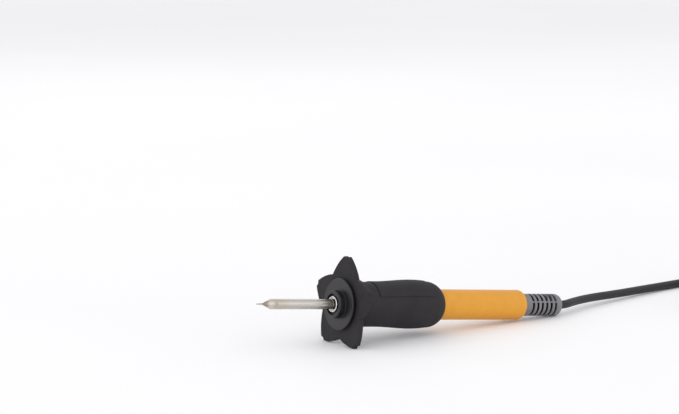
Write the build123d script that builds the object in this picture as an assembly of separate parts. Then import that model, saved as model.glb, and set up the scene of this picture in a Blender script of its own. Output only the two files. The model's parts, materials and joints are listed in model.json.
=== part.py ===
"""Wood burning pen with its lead and plug.

Each sub-part is modelled on the pen's own axis: X runs back towards the lead, the finger
guard's front face is at x = 0 and the Z axis passes through the middle of the top petal.
At the end the pen is laid down on two petals and on its rear strain relief, and everything
is written in the row frame: +X towards the lead, +Z up, floor at z = 0. Millimetres.
"""
from build123d import *
from math import asin, atan2, cos, degrees, hypot, pi, radians, sin, tan
import os

# ---- driving dimensions -------------------------------------------------------------
# nib and burning tube
needle_point = -44.7
needle_root = -41.5
cone_root = -37.3
nib_seat = -36.4
nib_shank_end = -26.0
needle_radius = 0.3
tube_radius = 2.25
tube_bore = 1.7
tube_end = 8.0
dimple_x = -35.4
dimple_angle = 80.0
# ferrule, washer and cap nut
ferrule_front = -5.1
ferrule_radius = 3.5
ferrule_mouth_radius = 3.05
ferrule_mouth_depth = 1.9
flange_front = -2.9
flange_rear = -1.9
flange_radius = 5.2
nose_front = -1.1
nut_front = -4.95
collar_radius = 6.2
front_recess_radius = 4.7
front_recess_depth = 1.2
disc_front = -1.9
disc_rear = -0.7
disc_radius = 11.4
skirt_radius = 7.4
skirt_end = 7.6
nut_clearance = 0.08
# guard and grip
petal_count = 5
petal_radius = 21.2
petal_half_width = 1.3
petal_notch = 0.5
petal_bulge = 1.4
valley_radius = 15.0
guard_thickness = 2.4
guard_edge = 0.25
guard_corner = 0.2
guard_bore = 7.7
grip_end = 52.4
grip_fillet = 3.4
grip_waist = 10.05
grip_waist_end = 21.0
grip_belly = 10.85
grip_belly_x = 35.0
grip_dome_x = 45.4
grip_dome_radius = 10.4
panel_front = 14.5
panel_rear = 44.0
panel_height = 0.3
panel_half_angle = 62.0
# handle
shoulder = 9.0
handle_radius = 6.9
grip_seat_radius = 6.6
handle_bore = 4.9
nose_radius = 5.92
thread_pitch = 1.0
thread_depth = 0.35
thread_turns = 8
handle_round_start = 98.3
handle_end = 101.2
handle_end_radius = 5.2
relief_hole = 3.2
# heating cartridge
base_front = 2.0
base_end = 14.0
base_radius = 4.6
base_cavity_end = 11.0
base_cavity_radius = 3.1
core_radius = 0.9
core_bore = 0.35
core_front = -23.0
core_end = 6.0
winding_radius = 1.1
winding_wire = 0.16
winding_front = -22.0
winding_length = 14.0
winding_pitch = 0.7
sleeve_radius = 1.65
sleeve_bore = 1.4
pin_offset = 2.2
pin_radius = 0.75
pin_front = 9.5
pin_end = 25.0
# contact block and wiring inside the handle
block_front = 15.0
block_end = 27.0
socket_radius = 1.2
socket_tail = 28.5
solder_tail_end = 31.5
solder_tail_radius = 0.6
screw_x = 21.0
screw_radius = 0.8
screw_head_radius = 1.6
screw_tip = 2.8
screw_head_depth = 0.25
wire_radius = 0.65
wire_end = 86.0
wire_gap = 0.03
shrink_radius = 1.0
shrink_front = 28.6
shrink_end = 36.5
crimp_front = 90.0
crimp_end = 95.0
crimp_radius = 3.0
# strain relief
relief_radius = 5.15
relief_flange_radius = 4.6
relief_flange_front = 96.6
relief_first_groove = 104.95
relief_groove_count = 6
relief_groove_pitch = 2.68
relief_groove_width = 1.35
relief_groove_floor = 3.5
relief_bridge_width = 0.65
relief_bridge_angle = 66.0
relief_round_start = 121.3
relief_end = 124.1
relief_end_radius = 2.9
# lead
cord_radius = 1.95
coil_centre = (222.8, -1.1)
coil_outer_turn = 29.9
coil_turn_pitch = 4.0
coil_layer_turns = 3.665
coil_layers = 2
tie_width = 6.0
tie_thickness = 0.6
tie_angle = -20.0
# plug
plug_radius = 8.9
plug_rear = (197.0, -34.2)
boot_collar_radius = 3.4
boot_collar_length = 3.0
boot_length = 18.0
boot_front_radius = 6.0
boot_rear_radius = 4.3
boot_groove_count = 5
plug_ring_length = 3.5
plug_body_radius = 7.5
plug_body_length = 18.0
shell_radius = 6.6
shell_root_radius = 6.4
shell_root_length = 5.0
shell_bore = 6.0
shell_length = 9.0
contact_circle = 3.5
contact_radius = 0.725


# ---- helpers ------------------------------------------------------------------------
def turned(*outline):
    """Solid of revolution about the pen's axis, from (x, radius) corners."""
    return revolve(make_face(Polyline(*outline, close=True)), Axis.X)


def tube(start, end, inner, outer):
    """Plain tube on the pen's axis."""
    return turned((start, inner), (end, inner), (end, outer), (start, outer))


def rod(start, end, radius, y=0.0, z=0.0):
    """Plain round bar parallel to the pen's axis."""
    length = end - start
    return Pos(start + length / 2, y, z) * Rot(0, 90, 0) * Cylinder(radius, length)


def wire(radius, points, radii):
    """Round wire along straight runs joined by tangent arcs."""
    path = FilletPolyline(*points, radius=radii)
    section = Plane(origin=path @ 0, z_dir=path % 0) * Circle(radius)
    return sweep(section, path=path)


def bar(start, end, radius):
    """Round bar between two points."""
    line = Vector(*end) - Vector(*start)
    return extrude(Plane(origin=start, z_dir=line) * Circle(radius), line.length)


def group(solids):
    """Separate solids that share one node."""
    return solids[0] + solids[1:]


def arc_radii(points):
    """Largest smooth arc radius at each corner of a route."""
    radii = []
    for before, corner, after in zip(points, points[1:], points[2:]):
        run_in = Vector(*corner) - Vector(*before)
        run_out = Vector(*after) - Vector(*corner)
        half_turn = radians(run_in.get_angle(run_out)) / 2
        radii.append(0.45 * min(run_in.length, run_out.length) / tan(half_turn))
    return radii


def on_ring(radius, angle):
    """Point of a cross-section of the pen: angle from straight up, towards -Y."""
    turn = radians(angle)
    return (0.0, -radius * sin(turn), radius * cos(turn))


# ---- burning tip --------------------------------------------------------------------
def make_nib():
    edge = 0.12
    return turned(
        (needle_point, 0),
        (needle_point + 0.25, needle_radius * 0.55),
        (needle_root, needle_radius),
        (cone_root, tube_radius),
        (nib_seat - edge, tube_radius),
        (nib_seat, tube_radius - edge),
        (nib_seat, tube_bore),
        (nib_shank_end, tube_bore),
        (nib_shank_end, 0),
    )


def make_tip_tube():
    edge = 0.12
    body = turned(
        (nib_seat, tube_bore),
        (tube_end, tube_bore),
        (tube_end, tube_radius),
        (nib_seat + edge, tube_radius),
        (nib_seat, tube_radius - edge),
    )
    crimp_ball = 0.7
    _, y, z = on_ring(tube_radius + 0.15, dimple_angle)
    return body - Pos(dimple_x, y, z) * Sphere(crimp_ball)


def make_ferrule():
    edge = 0.2
    mouth_end = ferrule_front + ferrule_mouth_depth
    return turned(
        (ferrule_front, ferrule_mouth_radius),
        (ferrule_front, ferrule_radius - edge),
        (ferrule_front + edge, ferrule_radius),
        (flange_front, ferrule_radius),
        (flange_front, flange_radius),
        (flange_rear, flange_radius),
        (flange_rear, tube_radius),
        (mouth_end, tube_radius),
        (mouth_end, ferrule_mouth_radius),
    )


def make_cartridge_base():
    body = turned(
        (base_front, tube_radius),
        (tube_end, tube_radius),
        (tube_end, base_cavity_radius),
        (base_cavity_end, base_cavity_radius),
        (base_cavity_end, 0),
        (base_end, 0),
        (base_end, base_radius - 0.4),
        (base_end - 0.4, base_radius),
        (base_front, base_radius),
    )
    for side in (-1, 1):
        body -= rod(base_cavity_end - 1, base_end + 1, pin_radius, y=side * pin_offset)
    return body


def make_contact_pins():
    pin = turned(
        (pin_front, 0),
        (pin_front, pin_radius),
        (pin_end - 0.5, pin_radius),
        (pin_end, pin_radius - 0.35),
        (pin_end, 0),
    )
    return group([Pos(0, side * pin_offset, 0) * pin for side in (-1, 1)])


def make_heater_winding():
    coil = Helix(winding_pitch, winding_length, winding_radius)
    section = Plane(origin=coil @ 0, z_dir=coil % 0) * Circle(winding_wire)
    return Pos(winding_front, 0, 0) * Rot(0, 90, 0) * sweep(section, path=coil)


def make_heater_leads():
    lead_radius = winding_radius + 0.05
    centre_points = [
        (core_front, 0, 0),
        (core_end + 0.8, 0, 0),
        (pin_front - 0.9, -pin_offset, 0),
        (pin_front, -pin_offset - 0.02, 0),
    ]
    outer_points = [
        (winding_front + winding_length + 0.6, lead_radius, 0),
        (core_end + 1.2, lead_radius, 0),
        (pin_front - 0.9, pin_offset, 0),
        (pin_front, pin_offset + 0.02, 0),
    ]
    bend = 0.3
    return group([wire(winding_wire, points, [bend, bend]) for points in (centre_points, outer_points)])


# ---- cap nut ------------------------------------------------------------------------
def thread_outline(start, root, crest):
    """V-shaped thread flanks as (x, radius) corners, from start towards +X."""
    corners = []
    for turn in range(thread_turns):
        x = start + turn * thread_pitch
        corners += [(x, crest), (x + thread_pitch / 2, root)]
    corners.append((start + thread_turns * thread_pitch, crest))
    return corners


def make_cap_nut():
    bore = nose_radius + nut_clearance
    mouth_radius = ferrule_radius + nut_clearance
    cavity_radius = flange_radius + 0.15
    cavity_end = nose_front - 0.9
    shoulder_x = flange_front - 0.02
    recess_floor = nut_front + front_recess_depth
    edge = 0.35
    rim = 0.3
    root = 0.15
    return turned(
        (nut_front, front_recess_radius),
        (recess_floor, front_recess_radius),
        (recess_floor, mouth_radius),
        (shoulder_x, mouth_radius),
        (shoulder_x, cavity_radius),
        (cavity_end, cavity_radius),
        (cavity_end, bore),
        *thread_outline(nose_front, bore + thread_depth, bore),
        (skirt_end, bore),
        (skirt_end, skirt_radius - edge),
        (skirt_end - edge, skirt_radius),
        (disc_rear, skirt_radius),
        (disc_rear, disc_radius - rim),
        (disc_rear - rim, disc_radius),
        (disc_front + rim, disc_radius),
        (disc_front, disc_radius - rim),
        (disc_front, collar_radius + root),
        (disc_front - root, collar_radius),
        (nut_front + edge, collar_radius),
        (nut_front, collar_radius - edge),
    )


# ---- guard and grip -----------------------------------------------------------------
def petal_point(radial, across, angle):
    """Point of the guard's outline (Y, Z), from a distance out along a petal and one across it."""
    turn = radians(angle)
    return (
        -radial * sin(turn) - across * cos(turn),
        radial * cos(turn) - across * sin(turn),
    )


def flank(start, end):
    """Slightly arched side of a petal."""
    middle = (Vector(*start) + Vector(*end)) / 2
    along = (Vector(*end) - Vector(*start)).normalized()
    outward = Vector(along.Y, -along.X)
    if outward.dot(middle) < 0:
        outward = outward * -1
    return ThreePointArc(start, middle + outward * petal_bulge / 2, end)


def make_guard_face():
    """The five-petal outline, drawn in the plane across the pen."""
    lines = []
    half_step = 180 / petal_count
    for petal in range(petal_count):
        angle = petal * 360 / petal_count
        valley_in = petal_point(valley_radius, 0, angle - half_step)
        valley_out = petal_point(valley_radius, 0, angle + half_step)
        tip_in = petal_point(petal_radius, -petal_half_width, angle)
        tip_out = petal_point(petal_radius, petal_half_width, angle)
        notch = petal_point(petal_radius - petal_notch, 0, angle)
        lines += [flank(valley_in, tip_in), ThreePointArc(tip_in, notch, tip_out)]
        lines.append(flank(tip_out, valley_out))
    face = make_face(lines)
    return fillet(face.vertices(), guard_corner)


def grip_side(raised=0.0):
    """Side line of the grip, from behind the guard to where its rear dome begins."""
    return Spline(
        (guard_thickness - 0.5 + grip_fillet, grip_waist + raised),
        (grip_waist_end, grip_waist + raised),
        (grip_belly_x, grip_belly + raised),
        (grip_dome_x, grip_dome_radius + raised),
        tangents=((1, 0), (1, -0.12)),
    )


def make_grip_panel():
    """Low raised panel along the top of the grip."""
    side = grip_side(raised=panel_height)
    start = side @ 0
    end = side @ 1
    hidden = grip_waist - 1.5
    closing = Polyline((end.X, end.Y), (end.X, hidden), (start.X, hidden), (start.X, start.Y))
    swept = revolve(make_face([side, closing]), Axis.X, 2 * panel_half_angle)
    swept = Rot(90 - panel_half_angle, 0, 0) * swept
    length = panel_rear - panel_front
    return swept & Pos(panel_front + length / 2, 0, 0) * Box(length, grip_belly * 3, grip_belly * 3)


def make_finger_guard_grip():
    star = extrude(Plane.YZ * make_guard_face(), guard_thickness)
    flat_faces = star.faces().filter_by(Axis.X)
    star = fillet([edge for face in flat_faces for edge in face.edges()], guard_edge)
    root_x = guard_thickness - 0.5
    root_radius = grip_waist + grip_fillet
    waist_x = root_x + grip_fillet
    lines = [
        ThreePointArc(
            (root_x, root_radius),
            (root_x + grip_fillet * 0.29, grip_waist + grip_fillet * 0.29),
            (waist_x, grip_waist),
        ),
        grip_side(),
        ThreePointArc(
            (grip_dome_x, grip_dome_radius),
            (grip_dome_x + 4.6, grip_dome_radius - 1.25),
            (grip_end, handle_radius),
        ),
        Polyline(
            (grip_end, handle_radius),
            (grip_end, grip_seat_radius),
            (shoulder, grip_seat_radius),
            (shoulder, guard_bore),
            (root_x, guard_bore),
            (root_x, root_radius),
        ),
    ]
    sleeve = revolve(make_face(lines), Axis.X)
    bore = tube(-1.0, guard_thickness + 1.0, 0.0, guard_bore)
    return star - bore + sleeve + make_grip_panel()


# ---- handle -------------------------------------------------------------------------
def make_handle_shell():
    thread_root = nose_radius - thread_depth
    flanks = thread_outline(nose_front + 0.5, thread_root, nose_radius)
    lines = [
        ThreePointArc(
            (handle_round_start, handle_radius),
            (handle_end - 0.85, handle_radius - 0.5),
            (handle_end, handle_end_radius),
        ),
        Polyline(
            (handle_end, handle_end_radius),
            (handle_end, relief_hole),
            (handle_round_start, relief_hole),
            (handle_round_start, handle_bore),
            (nose_front, handle_bore),
            (nose_front, thread_root),
            (nose_front + 0.2, thread_root),
            *flanks,
            (flanks[-1][0] + 0.4, thread_root),
            (shoulder, thread_root),
            (shoulder, grip_seat_radius),
            (grip_end, grip_seat_radius),
            (grip_end, handle_radius),
            (handle_round_start, handle_radius),
        ),
    ]
    shell = revolve(make_face(lines), Axis.X)
    for side in (0, 180):
        shell -= Rot(side, 0, 0) * screw_form(clearance=0.05, headroom=0.4)
    return shell


def screw_form(clearance=0.0, headroom=0.0):
    """Countersunk screw standing on +Z, or with clearance and headroom the hole for it."""
    head_top = grip_seat_radius - screw_head_depth
    shank = screw_radius + clearance
    head = screw_head_radius + clearance
    outline = [
        (0, screw_tip),
        (shank, screw_tip),
        (shank, head_top - screw_head_radius + screw_radius),
        (head, head_top),
    ]
    if headroom:
        outline.append((head, head_top + headroom))
    outline.append((0, head_top + headroom))
    face = Plane.XZ * make_face(Polyline(*outline, close=True))
    return Pos(screw_x, 0, 0) * revolve(face, Axis.Z)


def make_contact_block():
    body = rod(block_front, block_end, handle_bore - 0.03)
    for side in (-1, 1):
        body -= rod(block_front - 1, block_end + 1, socket_radius, y=side * pin_offset)
    for side in (0, 180):
        body -= Rot(side, 0, 0) * screw_form()
    return body


def make_socket_contacts():
    bore = pin_radius + 0.08
    socket = turned(
        (block_front + 0.2, bore),
        (block_end - 0.4, bore),
        (block_end - 0.4, 0),
        (solder_tail_end, 0),
        (solder_tail_end, solder_tail_radius),
        (socket_tail, solder_tail_radius),
        (socket_tail, socket_radius),
        (block_front + 0.2, socket_radius),
    )
    return group([Pos(0, side * pin_offset, 0) * socket for side in (-1, 1)])


def make_block_screws():
    slot_width = 0.45
    slot_depth = 0.45
    slot = Box(screw_head_radius * 3, slot_width, slot_depth * 2)
    screw = screw_form() - Pos(screw_x, 0, grip_seat_radius - screw_head_depth) * slot
    return group([Rot(side, 0, 0) * screw for side in (0, 180)])


def make_lead_wires():
    wires = []
    for side in (-1, 1):
        points = [
            (solder_tail_end, side * pin_offset, 0),
            (shrink_end + 3.5, side * pin_offset, 0),
            (60.0, side * 1.4, 0.5),
            (76.0, side * 0.95, -0.2),
            (wire_end - wire_gap, side * (wire_radius + 0.1), 0),
        ]
        wires.append(wire(wire_radius, points, arc_radii(points)))
    return group(wires)


def make_shrink_sleeves():
    sleeve = tube(shrink_front, shrink_end, wire_radius, shrink_radius)
    return group([Pos(0, side * pin_offset, 0) * sleeve for side in (-1, 1)])


# ---- strain relief ------------------------------------------------------------------
def make_strain_relief():
    end_arc = ThreePointArc(
        (relief_round_start, relief_radius),
        (relief_end - 0.8, relief_radius - 0.75),
        (relief_end, relief_end_radius),
    )
    rest = Polyline(
        (relief_end, relief_end_radius),
        (relief_end, cord_radius),
        (relief_flange_front, cord_radius),
        (relief_flange_front, relief_flange_radius),
        (handle_round_start, relief_flange_radius),
        (handle_round_start, relief_hole),
        (handle_end, relief_hole),
        (handle_end, relief_radius),
        (relief_round_start, relief_radius),
    )
    body = revolve(make_face([end_arc, rest]), Axis.X)
    ribbed_length = relief_end - handle_end
    bridge = Box(ribbed_length, relief_bridge_width, relief_radius * 4)
    bridge = Rot(relief_bridge_angle, 0, 0) * Pos(handle_end + ribbed_length / 2, 0, 0) * bridge
    for groove in range(relief_groove_count):
        start = relief_first_groove + groove * relief_groove_pitch
        ring = tube(start, start + relief_groove_width, relief_groove_floor, relief_radius + 1)
        body -= ring - bridge
    return body


# ---- plug, built along +X from the lead's end -----------------------------------------
def make_plug_boot():
    taper = (boot_front_radius - boot_rear_radius) / (boot_length - boot_collar_length)
    groove_pitch = (boot_length - boot_collar_length) / (boot_groove_count + 0.5)
    groove_depth = 0.7
    corners = [(0, 0), (0, boot_collar_radius - 0.4), (0.4, boot_collar_radius)]
    corners.append((boot_collar_length, boot_collar_radius))
    for groove in range(boot_groove_count):
        x = boot_collar_length + groove * groove_pitch
        radius = boot_rear_radius + taper * groove * groove_pitch
        rib_end = x + groove_pitch * 0.6
        corners += [(x, radius), (rib_end, radius + taper * (rib_end - x))]
        corners += [(rib_end, radius - groove_depth), (x + groove_pitch, radius - groove_depth)]
    last = boot_collar_length + boot_groove_count * groove_pitch
    corners += [(last, boot_front_radius), (boot_length, boot_front_radius), (boot_length, 0)]
    return turned(*corners)


def make_plug_body():
    ring_end = boot_length + plug_ring_length
    body_end = boot_length + plug_body_length
    neck_end = ring_end + 2.5
    neck_radius = plug_body_radius - 0.8
    ring_chamfer = 1.2
    edge = 0.5
    body = turned(
        (boot_length, 0),
        (boot_length, plug_radius - ring_chamfer),
        (boot_length + ring_chamfer, plug_radius),
        (ring_end, plug_radius),
        (ring_end, neck_radius),
        (neck_end, neck_radius),
        (neck_end + 1.5, plug_body_radius),
        (body_end - edge, plug_body_radius),
        (body_end, plug_body_radius - edge),
        (body_end, 0),
    )
    return body - tube(body_end - shell_root_length, body_end + 1, 0, shell_root_radius)


def make_plug_shell():
    step = boot_length + plug_body_length
    start = step - shell_root_length
    end = step + shell_length
    shell = turned(
        (start, shell_bore),
        (end, shell_bore),
        (end, shell_radius - 0.25),
        (end - 0.25, shell_radius),
        (step, shell_radius),
        (step, shell_root_radius),
        (start, shell_root_radius),
    )
    key = Pos(end, 0, -shell_radius) * Box(12, 1.6, 1.0)
    return shell - key


def make_plug_insert():
    start = boot_length + plug_body_length - shell_root_length
    end = boot_length + plug_body_length + 0.6
    insert = rod(start, end, shell_bore)
    for y, z in contact_places():
        insert -= rod(start - 1, end + 1, contact_radius, y, z)
    return insert


def contact_places():
    """Centres (y, z) of the plug's three contacts."""
    return [(contact_circle, 0.0), (0.0, contact_circle), (-contact_circle, 0.0)]


def make_plug_contacts():
    start = boot_length + plug_body_length - shell_root_length
    end = boot_length + plug_body_length + shell_length - 0.8
    contact = turned(
        (start, 0),
        (start, contact_radius),
        (end - 0.5, contact_radius),
        (end, contact_radius - 0.4),
        (end, 0),
    )
    return group([Pos(0, y, z) * contact for y, z in contact_places()])


# ---- pen at rest --------------------------------------------------------------------
pen = {
    "nib": make_nib(),
    "tip_tube": make_tip_tube(),
    "ferrule": make_ferrule(),
    "seat_washer": tube(flange_rear, nose_front, tube_radius + 0.05, flange_radius),
    "insulating_sleeve": tube(nib_shank_end + 1, tube_end - 1, sleeve_bore, sleeve_radius),
    "heater_core": tube(core_front, core_end, core_bore, core_radius),
    "heater_winding": make_heater_winding(),
    "heater_leads": make_heater_leads(),
    "cartridge_base": make_cartridge_base(),
    "contact_pins": make_contact_pins(),
    "cap_nut": make_cap_nut(),
    "finger_guard_grip": make_finger_guard_grip(),
    "handle_shell": make_handle_shell(),
    "contact_block": make_contact_block(),
    "socket_contacts": make_socket_contacts(),
    "block_screws": make_block_screws(),
    "lead_wires": make_lead_wires(),
    "shrink_sleeves": make_shrink_sleeves(),
    "crimp_ring": tube(crimp_front, crimp_end, cord_radius, crimp_radius),
    "cord_inner_end": rod(wire_end, relief_end, cord_radius),
    "strain_relief": make_strain_relief(),
}

# The rounded rear edges of the guard's two lower petals and the strain relief's last rib
# share the floor.
guard_drop = -pen["finger_guard_grip"].bounding_box().min.Z
drop_difference = guard_drop - guard_edge - relief_radius
contact_span = relief_round_start - guard_thickness + guard_edge
rest_tilt = atan2(drop_difference, contact_span) + asin(guard_edge / hypot(drop_difference, contact_span))
tilted = Rot(0, degrees(rest_tilt), 0)
tilted_box = Compound(children=[tilted * shape for shape in pen.values()]).bounding_box()
pen_shift = (-(tilted_box.min.X + tilted_box.max.X) / 2, 0, -tilted_box.min.Z)
rest = Pos(*pen_shift) * tilted
parts = {name: rest * shape for name, shape in pen.items()}

# ---- lead -----------------------------------------------------------------------------
exit_point = (
    pen_shift[0] + relief_end * cos(rest_tilt),
    0.0,
    pen_shift[2] - relief_end * sin(rest_tilt),
)
coil_x, coil_y = coil_centre
coil_outer = coil_outer_turn + cord_radius
coil_inner = coil_outer_turn - coil_layer_turns * coil_turn_pitch - cord_radius
coil_height = 2 * cord_radius * coil_layers + tie_thickness
top_layer = coil_height - cord_radius - 0.3


def coil_point(angle, height):
    """Point of the outermost turn, angle anticlockwise from +X."""
    turn = radians(angle)
    return (coil_x + coil_outer_turn * cos(turn), coil_y + coil_outer_turn * sin(turn), height)


entry_angle = 98.0
entry_bar = 16.0
straight_out = 4.0
last_bend = (181.0, 23.2, cord_radius)
coil_start = coil_point(entry_angle, cord_radius + tie_thickness)
entry_line = (Vector(*coil_start) - Vector(*last_bend)).normalized()
coil_entry = tuple(Vector(*coil_start) - entry_line * entry_bar)
run_points = [
    exit_point,
    (
        exit_point[0] + straight_out * cos(rest_tilt),
        0.0,
        exit_point[2] - straight_out * sin(rest_tilt),
    ),
    (98.9, 4.9, 4.4),
    (114.0, 9.8, 3.9),
    (131.5, 13.1, 3.2),
    (156.2, 19.0, 2.4),
    last_bend,
    coil_entry,
]
leave_angle = 279.4
leave_bar = 16.0
plug_x, plug_y = plug_rear
boot_bend = (plug_x + 9.0, plug_y, plug_radius)
coil_finish = coil_point(leave_angle, top_layer)
leave_line = (Vector(*boot_bend) - Vector(*coil_finish)).normalized()
coil_leave = tuple(Vector(*coil_finish) + leave_line * leave_bar)
tail_points = [coil_leave, boot_bend, (plug_x, plug_y, plug_radius)]
coil_form = Pos(coil_x, coil_y, coil_height / 2) * (
    Cylinder(coil_outer, coil_height) - Cylinder(coil_inner, coil_height)
)
tie_length = coil_outer - coil_inner + 2 * tie_thickness
tie_centre = (coil_outer + coil_inner) / 2
tie_block = Box(tie_length, tie_width, coil_height + tie_thickness)
tie_place = Pos(coil_x, coil_y, (coil_height + tie_thickness) / 2)
tie_place *= Rot(0, 0, tie_angle) * Pos(tie_centre, 0, 0)
tie_gap = Box(tie_length - 2 * tie_thickness, tie_width, coil_height - tie_thickness)
tie = tie_place * (tie_block - tie_gap)
coil = coil_form - tie
coil += bar(coil_entry, coil_start, cord_radius) + bar(coil_finish, coil_leave, cord_radius)

cord_section = pi * cord_radius**2
tubes = {}
for name, route in (("cord_run", run_points), ("cord_tail", tail_points)):
    radii = arc_radii(route)
    tubes[name] = wire(cord_radius, route, radii)
    length = FilletPolyline(*route, radius=radii).length
    print(name, "arc radii", [round(radius, 1) for radius in radii])
    print(name, "volume", round(tubes[name].volume, 1), "section x length", round(cord_section * length, 1))

plug_place = Pos(plug_x, plug_y, plug_radius) * Rot(0, 0, 180)
parts["cord_run"] = tubes["cord_run"]
parts["cord_coil"] = coil
parts["cord_tail"] = tubes["cord_tail"]
parts["coil_tie"] = tie
parts["plug_boot"] = plug_place * make_plug_boot()
parts["plug_body"] = plug_place * make_plug_body()
parts["plug_shell"] = plug_place * make_plug_shell()
parts["plug_insert"] = plug_place * make_plug_insert()
parts["plug_contacts"] = plug_place * make_plug_contacts()

os.makedirs("parts", exist_ok=True)
for name, shape in parts.items():
    export_step(shape, f"parts/{name}.step")

print("rest tilt", round(degrees(rest_tilt), 3), "shift", [round(v, 3) for v in pen_shift])
print("exit", [round(v, 3) for v in exit_point])
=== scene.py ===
"""Looks of the wood burning pen: its lead, its strap, every surface, the floor and the light.

Lengths are in metres, in the row frame: +X back towards the lead, +Z up, floor at z = 0.
"""
import json
import math

import bmesh
import bpy
from mathutils import Matrix, Vector


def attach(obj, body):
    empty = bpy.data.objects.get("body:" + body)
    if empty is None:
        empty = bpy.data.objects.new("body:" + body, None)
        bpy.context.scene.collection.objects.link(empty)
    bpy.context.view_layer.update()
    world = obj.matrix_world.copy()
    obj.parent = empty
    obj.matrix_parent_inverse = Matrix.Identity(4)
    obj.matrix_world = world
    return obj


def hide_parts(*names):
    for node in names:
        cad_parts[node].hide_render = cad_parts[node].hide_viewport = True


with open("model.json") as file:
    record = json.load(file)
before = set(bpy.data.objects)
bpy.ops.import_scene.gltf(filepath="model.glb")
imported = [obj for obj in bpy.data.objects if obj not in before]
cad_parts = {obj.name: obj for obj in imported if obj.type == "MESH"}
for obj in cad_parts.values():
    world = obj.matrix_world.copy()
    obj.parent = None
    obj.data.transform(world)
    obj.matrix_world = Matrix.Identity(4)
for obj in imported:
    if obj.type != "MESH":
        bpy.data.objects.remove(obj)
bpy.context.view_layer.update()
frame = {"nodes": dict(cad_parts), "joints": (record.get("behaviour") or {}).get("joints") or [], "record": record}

MM = 0.001
nodes = frame["nodes"]

# ---- the pen's own axis, from the cap nut's joint --------------------------------------
nut_joint = next(joint for joint in frame["joints"] if joint["name"] == "nut_turn")
disc_rear = -0.7 * MM
axis_back = -Vector(nut_joint["axis"]).normalized()
guard_front = Vector(nut_joint["pos_m"]) - axis_back * disc_rear
tilt = math.asin(-axis_back.z)


def pen_point(along, y=0.0, z=0.0):
    """Point in the row frame from pen coordinates: along the axis from the guard's face."""
    axis_up = Vector((-axis_back.z, 0, axis_back.x))
    return guard_front + axis_back * along + Vector((0, y, 0)) + axis_up * z


# ---- camera ------------------------------------------------------------------------------
def make_camera():
    """Camera low in front of the pen and to its left, aimed a little above it."""
    azimuth = math.radians(-34.5)
    elevation = math.radians(10.5)
    distance = 0.9957
    aim_above = math.radians(2.46)
    aim_right = math.radians(0.05)
    sideways = math.cos(elevation)
    outward = Vector(
        (math.sin(azimuth) * sideways, -math.cos(azimuth) * sideways, math.sin(elevation))
    )
    data = bpy.data.cameras.new("camera")
    data.lens = 120
    data.sensor_width = 36
    data.clip_end = 50
    camera = bpy.data.objects.new("camera", data)
    camera.location = guard_front + outward * distance
    tip_down = math.pi / 2 - elevation + aim_above
    camera.rotation_euler = (tip_down, 0, azimuth + aim_right)
    bpy.context.scene.collection.objects.link(camera)
    bpy.context.scene.camera = camera


make_camera()

# ---- the lead's route, the same points as the lead's tubes ------------------------------
cord_radius = 1.95 * MM
relief_end = 124.1 * MM
straight_out = 4.0 * MM
last_bend = Vector((181.0, 23.2, 1.95)) * MM
coil_centre = Vector((222.8, -1.1, 0)) * MM
outer_turn = 29.9 * MM
turn_pitch = 4.0 * MM
layer_turns = 3.665
rise_turns = 1 / 6
layer_gap = 4.05 * MM
entry_angle = 98.0
leave_angle = 279.4
entry_bar = 16.0 * MM
leave_bar = 16.0 * MM
points_per_turn = 20
whole_turns = 8
floor_gap = 0.02 * MM
tie_angle = -20.0
tie_thickness = 0.6 * MM
boot_bend = Vector((206.0, -34.2, 8.9)) * MM
plug_rear = Vector((197.0, -34.2, 8.9)) * MM


def lift_over_tie(angle):
    """Height that the strap under the coil lifts a turn by, near the strap."""
    away = abs((angle - tie_angle + 180) % 360 - 180)
    reach = 45
    if away >= reach:
        return 0
    return tie_thickness * math.cos(math.radians(90 * away / reach)) ** 2


def coil_turn(turns):
    """Point of the coil after that many turns: in along the floor, up, and out on top."""
    rise_start = layer_turns
    rise_end = layer_turns + rise_turns
    inward = min(turns, rise_start)
    outward = max(turns - rise_end, 0)
    climbed = min(max((turns - rise_start) / rise_turns, 0), 1)
    radius = outer_turn - turn_pitch * (inward - outward)
    angle = entry_angle - 360 * turns
    height = cord_radius + floor_gap + layer_gap * climbed + lift_over_tie(angle)
    turn = math.radians(angle)
    return coil_centre + Vector((radius * math.cos(turn), radius * math.sin(turn), height))


def lead_route():
    """Control points of the whole free lead, from the strain relief to the plug."""
    exit_point = pen_point(relief_end)
    coil_turns = (entry_angle - leave_angle) / 360 + whole_turns
    steps = round(coil_turns * points_per_turn)
    coil = [coil_turn(coil_turns * step / steps) for step in range(steps + 1)]
    coil_entry = coil[0] - (coil[0] - last_bend).normalized() * entry_bar
    coil_leave = coil[-1] + (boot_bend - coil[-1]).normalized() * leave_bar
    return [
        exit_point,
        exit_point + axis_back * straight_out,
        Vector((98.9, 4.9, 4.4)) * MM,
        Vector((114.0, 9.8, 3.9)) * MM,
        Vector((131.5, 13.1, 3.2)) * MM,
        Vector((156.2, 19.0, 2.4)) * MM,
        last_bend,
        coil_entry,
        *coil,
        coil_leave,
        boot_bend,
        plug_rear,
    ]


def add_object(name, data):
    piece = bpy.data.objects.new(name, data)
    bpy.context.scene.collection.objects.link(piece)
    return piece


def make_lead():
    """The lead as one spline. Its points carry the radius, and the bevel scales it by one."""
    data = bpy.data.curves.new("lead", "CURVE")
    data.dimensions = "3D"
    data.bevel_depth = 1.0
    data.bevel_resolution = 7
    data.resolution_u = 8
    spline = data.splines.new("NURBS")
    route = lead_route()
    spline.points.add(len(route) - 1)
    for point, place in zip(spline.points, route):
        point.co = (*place, 1)
        point.radius = cord_radius
    spline.order_u = 3
    spline.use_endpoint_u = True
    return add_object("lead", data)


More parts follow.
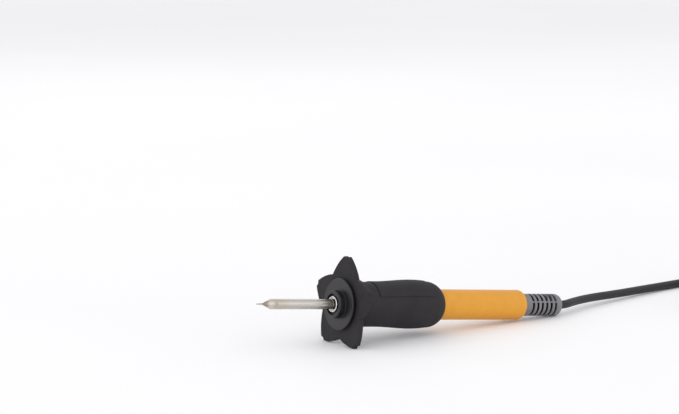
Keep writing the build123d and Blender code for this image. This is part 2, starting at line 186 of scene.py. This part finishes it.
# ---- strap round the coil ------------------------------------------------------------------
def rounded_loop(left, right, bottom, top, radius, arc_steps=6):
    """Closed rounded rectangle as (across, height) points, anticlockwise from the bottom left."""
    corners = [
        (right - radius, bottom + radius, -90),
        (right - radius, top - radius, 0),
        (left + radius, top - radius, 90),
        (left + radius, bottom + radius, 180),
    ]
    loop = []
    for across, height, start in corners:
        for step in range(arc_steps + 1):
            turn = math.radians(start + 90 * step / arc_steps)
            loop.append((across + radius * math.cos(turn), height + radius * math.sin(turn)))
    return loop


def strap_strip(path, closed, width, thickness, taper_steps=0):
    """Flat band along a path of (across, height) points, as a mesh with real thickness."""
    mesh = bmesh.new()
    count = len(path)
    rings = []
    for index, (across, height) in enumerate(path):
        before = path[index - 1] if closed or index else path[0]
        after = path[(index + 1) % count] if closed or index < count - 1 else path[-1]
        along = Vector((after[0] - before[0], after[1] - before[1])).normalized()
        outward = Vector((along.y, -along.x)) * thickness / 2
        left_over = count - 1 - index
        half = width / 2
        if taper_steps and left_over < taper_steps:
            share = 1 - left_over / taper_steps
            half *= math.sqrt(max(1 - share**2, 0.04))
        ring = []
        for side, face in ((-1, 1), (1, 1), (1, -1), (-1, -1)):
            place = Vector((across + outward.x * face, side * half, height + outward.y * face))
            ring.append(mesh.verts.new(place))
        rings.append(ring)
    pairs = list(zip(rings, rings[1:]))
    if closed:
        pairs.append((rings[-1], rings[0]))
    for one, other in pairs:
        for corner in range(4):
            following = (corner + 1) % 4
            mesh.faces.new((one[corner], one[following], other[following], other[corner]))
    if not closed:
        mesh.faces.new(rings[0])
        mesh.faces.new(reversed(rings[-1]))
    bmesh.ops.recalc_face_normals(mesh, faces=mesh.faces)
    return mesh


def make_strap():
    """Hook-and-loop strap: a closed loop round the turns and its loose end lapped over the top."""
    width = 6.0 * MM
    thickness = 0.55 * MM
    inner = 14.2 * MM
    outer = 31.45 * MM
    top = 8.95 * MM
    bottom = floor_gap + thickness / 2
    corner = 1.9 * MM
    lap_gap = 0.03 * MM
    wrap_steps = 6
    loop = strap_strip(rounded_loop(inner, outer, bottom, top, corner), True, width, thickness)
    lap_height = top + thickness + lap_gap
    lap_steps = 24
    lap_start = outer - corner
    lap_length = 11.5 * MM
    lap = [(lap_start - lap_length * step / lap_steps, lap_height) for step in range(lap_steps + 1)]
    reach = corner + thickness + lap_gap
    wrapped = []
    for step in range(wrap_steps + 1):
        turn = math.radians(90 * step / wrap_steps)
        wrapped.append((lap_start + reach * math.cos(turn), top - corner + reach * math.sin(turn)))
    end = strap_strip(wrapped + lap[1:], False, width * 0.96, thickness, taper_steps=6)
    data = bpy.data.meshes.new("coil_strap")
    joined = bmesh.new()
    for part in (loop, end):
        piece = bpy.data.meshes.new("strap_part")
        part.to_mesh(piece)
        joined.from_mesh(piece)
        part.free()
        bpy.data.meshes.remove(piece)
    turned = Matrix.Rotation(math.radians(tie_angle), 4, "Z")
    joined.transform(Matrix.Translation(coil_centre) @ turned)
    joined.to_mesh(data)
    joined.free()
    strap = add_object("coil_strap", data)
    bevel = strap.modifiers.new("soft_edges", "BEVEL")
    bevel.width = 0.16 * MM
    bevel.segments = 2
    bevel.limit_method = "ANGLE"
    bevel.angle_limit = math.radians(50)
    for face in data.polygons:
        face.use_smooth = True
    return strap


lead = make_lead()
strap = make_strap()
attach(lead, "handpiece")
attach(strap, "handpiece")
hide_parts("cord_run", "cord_coil", "cord_tail")
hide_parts("coil_tie")


# ---- materials -----------------------------------------------------------------------------
class Surface:
    """A material under construction: its shader and the nodes that feed it."""

    def __init__(self, name, **sockets):
        self.material = bpy.data.materials.new(name)
        self.material.use_nodes = True
        self.tree = self.material.node_tree
        self.shader = self.tree.nodes["Principled BSDF"]
        for socket, value in sockets.items():
            self.shader.inputs[socket.replace("_", " ")].default_value = value
        place = self.tree.nodes.new("ShaderNodeTexCoord")
        pen_frame = self.tree.nodes.new("ShaderNodeMapping")
        pen_frame.vector_type = "TEXTURE"
        pen_frame.inputs["Location"].default_value = guard_front
        pen_frame.inputs["Rotation"].default_value = (0, tilt, 0)
        self.link(place.outputs["Object"], pen_frame.inputs["Vector"])
        self.place = pen_frame.outputs["Vector"]
        self.relief = None

    def link(self, start, end):
        self.tree.links.new(start, end)

    def stretched(self, x=1.0, y=1.0, z=1.0):
        """The pen's own coordinates, scaled along each axis."""
        mapping = self.tree.nodes.new("ShaderNodeMapping")
        mapping.inputs["Scale"].default_value = (x, y, z)
        self.link(self.place, mapping.inputs["Vector"])
        return mapping.outputs["Vector"]

    def noise(self, size, detail=3.0, roughness=0.55, place=None):
        """Cloudy pattern with features of about that size, from 0 to 1."""
        node = self.tree.nodes.new("ShaderNodeTexNoise")
        node.inputs["Scale"].default_value = 1 / size
        node.inputs["Detail"].default_value = detail
        node.inputs["Roughness"].default_value = roughness
        self.link(place or self.place, node.inputs["Vector"])
        return node.outputs["Fac"]

    def cells(self, size):
        """Pebbled pattern of small rounded cells."""
        node = self.tree.nodes.new("ShaderNodeTexVoronoi")
        node.feature = "SMOOTH_F1"
        node.inputs["Scale"].default_value = 1 / size
        node.inputs["Smoothness"].default_value = 0.6
        self.link(self.place, node.inputs["Vector"])
        return node.outputs["Distance"]

    def rings(self, spacing):
        """Fine turned lines round the pen's axis."""
        node = self.tree.nodes.new("ShaderNodeTexWave")
        node.wave_type = "RINGS"
        node.rings_direction = "X"
        rings_per_unit = 3.18
        node.inputs["Scale"].default_value = 1 / spacing / rings_per_unit
        node.inputs["Distortion"].default_value = 0.4
        self.link(self.place, node.inputs["Vector"])
        return node.outputs["Fac"]

    def span(self, value, low, high, to_low=0.0, to_high=1.0, smooth=False):
        """Maps a value's range to another, clamped."""
        node = self.tree.nodes.new("ShaderNodeMapRange")
        node.interpolation_type = "SMOOTHSTEP" if smooth else "LINEAR"
        numbers = (low, high, to_low, to_high)
        for socket, number in zip(("From Min", "From Max", "To Min", "To Max"), numbers):
            node.inputs[socket].default_value = number
        self.link(value, node.inputs["Value"])
        return node.outputs["Result"]

    def along(self):
        """Distance back along the pen's axis."""
        node = self.tree.nodes.new("ShaderNodeSeparateXYZ")
        self.link(self.place, node.inputs["Vector"])
        return node.outputs["X"]

    def radius(self):
        """Distance from the pen's axis."""
        flat = self.stretched(0.0, 1.0, 1.0)
        node = self.tree.nodes.new("ShaderNodeVectorMath")
        node.operation = "LENGTH"
        self.link(flat, node.inputs[0])
        return node.outputs["Value"]

    def both(self, one, other):
        """Product of two shares."""
        node = self.tree.nodes.new("ShaderNodeMath")
        node.operation = "MULTIPLY"
        self.link(one, node.inputs[0])
        self.link(other, node.inputs[1])
        return node.outputs["Value"]

    def mix(self, share, one, other):
        """Blend of two colours, each a colour or another node's output."""
        node = self.tree.nodes.new("ShaderNodeMix")
        node.data_type = "RGBA"
        self.link(share, node.inputs["Factor"])
        for socket, colour in ((node.inputs[6], one), (node.inputs[7], other)):
            if isinstance(colour, bpy.types.NodeSocket):
                self.link(colour, socket)
            else:
                socket.default_value = (*colour, 1)
        return node.outputs[2]

    def colour(self, output):
        self.link(output, self.shader.inputs["Base Color"])

    def rough(self, pattern, low, high):
        self.link(self.span(pattern, 0.25, 0.75, low, high), self.shader.inputs["Roughness"])

    def bump(self, pattern, depth):
        """Adds relief of that depth; several calls add up."""
        node = self.tree.nodes.new("ShaderNodeBump")
        node.inputs["Distance"].default_value = depth
        self.link(pattern, node.inputs["Height"])
        if self.relief:
            self.link(self.relief, node.inputs["Normal"])
        self.relief = node.outputs["Normal"]
        self.link(self.relief, self.shader.inputs["Normal"])


def moulded(name, dark, light, low, high, grain=0.5 * MM, depth=0.004 * MM, **sockets):
    """Moulded plastic: faint tone clouds, uneven gloss and a fine skin."""
    surface = Surface(name, **sockets)
    clouds = surface.noise(6 * MM)
    surface.colour(surface.mix(surface.span(clouds, 0.3, 0.7), dark, light))
    surface.rough(surface.noise(1.7 * MM, detail=5), low, high)
    surface.bump(surface.noise(grain, detail=2), depth)
    return surface


def metal(name, dark, light, low, high, drawn=(1.0, 1.0, 1.0), depth=0.0015 * MM):
    """Bare metal with fine scratches that run the way it was drawn or turned."""
    surface = Surface(name, Metallic=1.0)
    lines = surface.noise(0.35 * MM, detail=6, place=surface.stretched(*drawn))
    surface.colour(surface.mix(surface.noise(4 * MM), dark, light))
    surface.rough(lines, low, high)
    surface.bump(lines, depth)
    return surface


def grip_rubber():
    surface = Surface("grip_rubber", Specular_IOR_Level=0.25)
    clouds = surface.span(surface.noise(9 * MM), 0.3, 0.7)
    surface.colour(surface.mix(clouds, (0.017, 0.0148, 0.0172), (0.024, 0.0212, 0.0243)))
    surface.rough(surface.noise(1.2 * MM, detail=5), 0.58, 0.74)
    surface.bump(surface.noise(5 * MM, detail=1), 0.05 * MM)
    surface.bump(surface.cells(0.45 * MM), 0.018 * MM)
    return surface


def nut_black():
    surface = moulded(
        "nut_black", (0.006, 0.0052, 0.0065), (0.0105, 0.0094, 0.0115), 0.3, 0.42, depth=0.003 * MM
    )
    surface.bump(surface.rings(0.28 * MM), 0.004 * MM)
    return surface


def handle_orange():
    return moulded(
        "handle_orange", (0.66, 0.292, 0.022), (0.71, 0.32, 0.028), 0.34, 0.46, depth=0.003 * MM,
        Specular_IOR_Level=0.35,
    )


def tube_steel():
    """Drawn tube, heat-tinted straw and grey-brown towards the nib."""
    surface = metal(
        "tube_steel", (0.52, 0.485, 0.445), (0.6, 0.565, 0.52), 0.2, 0.32, drawn=(0.06, 1.0, 1.0)
    )
    bright = surface.shader.inputs["Base Color"].links[0].from_socket
    tint = surface.span(surface.along(), -36.5 * MM, -26 * MM, 0.55, 0.0, smooth=True)
    surface.colour(surface.mix(tint, bright, (0.5, 0.42, 0.32)))
    return surface


def nib_metal():
    """Bright needle on a cone that heat has darkened."""
    surface = metal("nib_metal", (0.5, 0.46, 0.4), (0.62, 0.58, 0.52), 0.2, 0.36, drawn=(0.3, 1, 1))
    bright = surface.shader.inputs["Base Color"].links[0].from_socket
    soot = surface.span(surface.along(), -40.2 * MM, -38.3 * MM, 1.0, 0.0, smooth=True)
    surface.colour(surface.mix(soot, bright, (0.3, 0.25, 0.2)))
    return surface


def relief_rubber():
    """Soft grey moulding, with painted shade darkening its grooves."""
    surface = moulded(
        "relief_rubber", (0.15, 0.145, 0.155), (0.2, 0.194, 0.206), 0.42, 0.56, depth=0.006 * MM
    )
    skin = surface.shader.inputs["Base Color"].links[0].from_socket
    # painted shade: along the ribbed length, surfaces less than 5.05 mm from the axis are coloured near black for
    # the shade down in the grooves
    depth = surface.span(surface.radius(), 4.5 * MM, 5.05 * MM, 1.0, 0.0, smooth=True)
    ribbed = surface.span(surface.along(), 119.6 * MM, 119.9 * MM, 1.0, 0.0)
    surface.colour(surface.mix(surface.both(depth, ribbed), skin, (0.0035, 0.0035, 0.004)))
    return surface


def cord_jacket():
    surface = moulded(
        "cord_jacket", (0.0125, 0.0123, 0.0142), (0.018, 0.0177, 0.0202), 0.4, 0.52, depth=0.004 * MM,
        Specular_IOR_Level=0.3,
    )
    surface.bump(surface.noise(3.5 * MM, detail=1), 0.03 * MM)
    return surface


def tie_fabric():
    """Brushed woven nylon."""
    surface = Surface("tie_fabric", Sheen_Weight=0.35, Sheen_Roughness=0.45)
    fuzz = surface.noise(0.22 * MM, detail=4)
    thread = surface.span(fuzz, 0.3, 0.7)
    surface.colour(surface.mix(thread, (0.012, 0.012, 0.013), (0.034, 0.033, 0.036)))
    surface.rough(fuzz, 0.78, 0.95)
    surface.bump(surface.cells(0.4 * MM), 0.07 * MM)
    surface.bump(fuzz, 0.04 * MM)
    return surface


def washer_fibre():
    surface = moulded("washer_fibre", (0.4, 0.28, 0.17), (0.52, 0.39, 0.25), 0.6, 0.8, depth=0.01 * MM)
    surface.bump(surface.noise(0.15 * MM, detail=4), 0.01 * MM)
    return surface


# moulded parts: dark and light tone, lowest and highest roughness
plain_mouldings = {
    "mica": ((0.62, 0.57, 0.48), (0.75, 0.7, 0.6), 0.25, 0.45),
    "ceramic": ((0.78, 0.76, 0.71), (0.87, 0.85, 0.81), 0.55, 0.75),
    "block_plastic": ((0.72, 0.68, 0.58), (0.8, 0.77, 0.68), 0.45, 0.6),
    "wire_insulation": ((0.5, 0.05, 0.04), (0.6, 0.075, 0.055), 0.3, 0.45),
    "shrink_tube": ((0.015, 0.015, 0.016), (0.025, 0.025, 0.026), 0.35, 0.55),
    "plug_black": ((0.016, 0.016, 0.018), (0.024, 0.024, 0.027), 0.4, 0.55),
    "insert_plastic": ((0.012, 0.012, 0.012), (0.02, 0.02, 0.02), 0.5, 0.65),
}
# bare metal parts: the same four values
plain_metals = {
    "ferrule_steel": ((0.7, 0.69, 0.67), (0.82, 0.81, 0.79), 0.1, 0.2),
    "heating_wire": ((0.36, 0.33, 0.3), (0.48, 0.45, 0.41), 0.3, 0.5),
    "contact_brass": ((0.7, 0.52, 0.24), (0.82, 0.64, 0.32), 0.16, 0.3),
    "screw_steel": ((0.5, 0.5, 0.5), (0.62, 0.62, 0.61), 0.22, 0.4),
    "crimp_metal": ((0.55, 0.55, 0.54), (0.68, 0.68, 0.67), 0.25, 0.42),
    "shell_steel": ((0.6, 0.6, 0.6), (0.72, 0.72, 0.72), 0.14, 0.26),
}
special = [
    nib_metal, tube_steel, washer_fibre, nut_black, grip_rubber, handle_orange,
    cord_jacket, relief_rubber, tie_fabric,
]
materials = {make.__name__: make().material for make in special}
for slot, values in plain_mouldings.items():
    materials[slot] = moulded(slot, *values).material
for slot, values in plain_metals.items():
    materials[slot] = metal(slot, *values).material
for subpart in frame["record"]["subparts"]:
    for place in nodes[subpart["node"]].material_slots:
        place.material = materials[subpart["material_slot"]]
lead.data.materials.append(materials["cord_jacket"])
strap.data.materials.append(materials["tie_fabric"])


# ---- floor and light ---------------------------------------------------------------------------
def make_floor():
    half = 60.0
    corners = [(-half, -half, 0), (half, -half, 0), (half, half, 0), (-half, half, 0)]
    data = bpy.data.meshes.new("floor")
    data.from_pydata(corners, [], [(0, 1, 2, 3)])
    floor = add_object("floor", data)
    surface = Surface("floor_paper", Specular_IOR_Level=0.25)
    tone = surface.span(surface.noise(0.4, detail=2), 0.3, 0.7)
    surface.colour(surface.mix(tone, (0.93, 0.926, 0.93), (0.955, 0.952, 0.955)))
    surface.rough(surface.noise(0.05), 0.55, 0.65)
    data.materials.append(surface.material)


def make_light(name, place, aim, size, power, colour=(1, 1, 1)):
    data = bpy.data.lights.new(name, "AREA")
    data.shape = "RECTANGLE"
    data.size, data.size_y = size
    data.energy = power
    data.color = colour
    light = add_object(name, data)
    light.location = place
    light.rotation_euler = (Vector(aim) - Vector(place)).to_track_quat("-Z", "Y").to_euler()


def make_world():
    """A white room, brightest low in front of the pen and dimmest above and behind it."""
    mean_level = 1.22
    brighter_towards = (-0.1, -0.35, -0.38)
    world = bpy.data.worlds.new("studio")
    world.use_nodes = True
    tree = world.node_tree
    background = tree.nodes["Background"]
    background.inputs["Color"].default_value = (0.985, 0.985, 1.0, 1)
    direction = tree.nodes.new("ShaderNodeTexCoord")
    towards = tree.nodes.new("ShaderNodeVectorMath")
    towards.operation = "DOT_PRODUCT"
    towards.inputs[1].default_value = brighter_towards
    level = tree.nodes.new("ShaderNodeMath")
    level.inputs[1].default_value = mean_level
    tree.links.new(direction.outputs["Generated"], towards.inputs[0])
    tree.links.new(towards.outputs["Value"], level.inputs[0])
    tree.links.new(level.outputs["Value"], background.inputs["Strength"])
    bpy.context.scene.world = world


make_floor()
make_world()
make_light("softbox_back", (0.35, 1.1, 1.15), (0, 0, 0), (1.8, 1.2), 3.0)
make_light("softbox_left", (-1.3, 0.1, 0.75), (0, 0, 0), (0.7, 0.9), 2.0)
bpy.context.scene.view_settings.view_transform = "Standard"
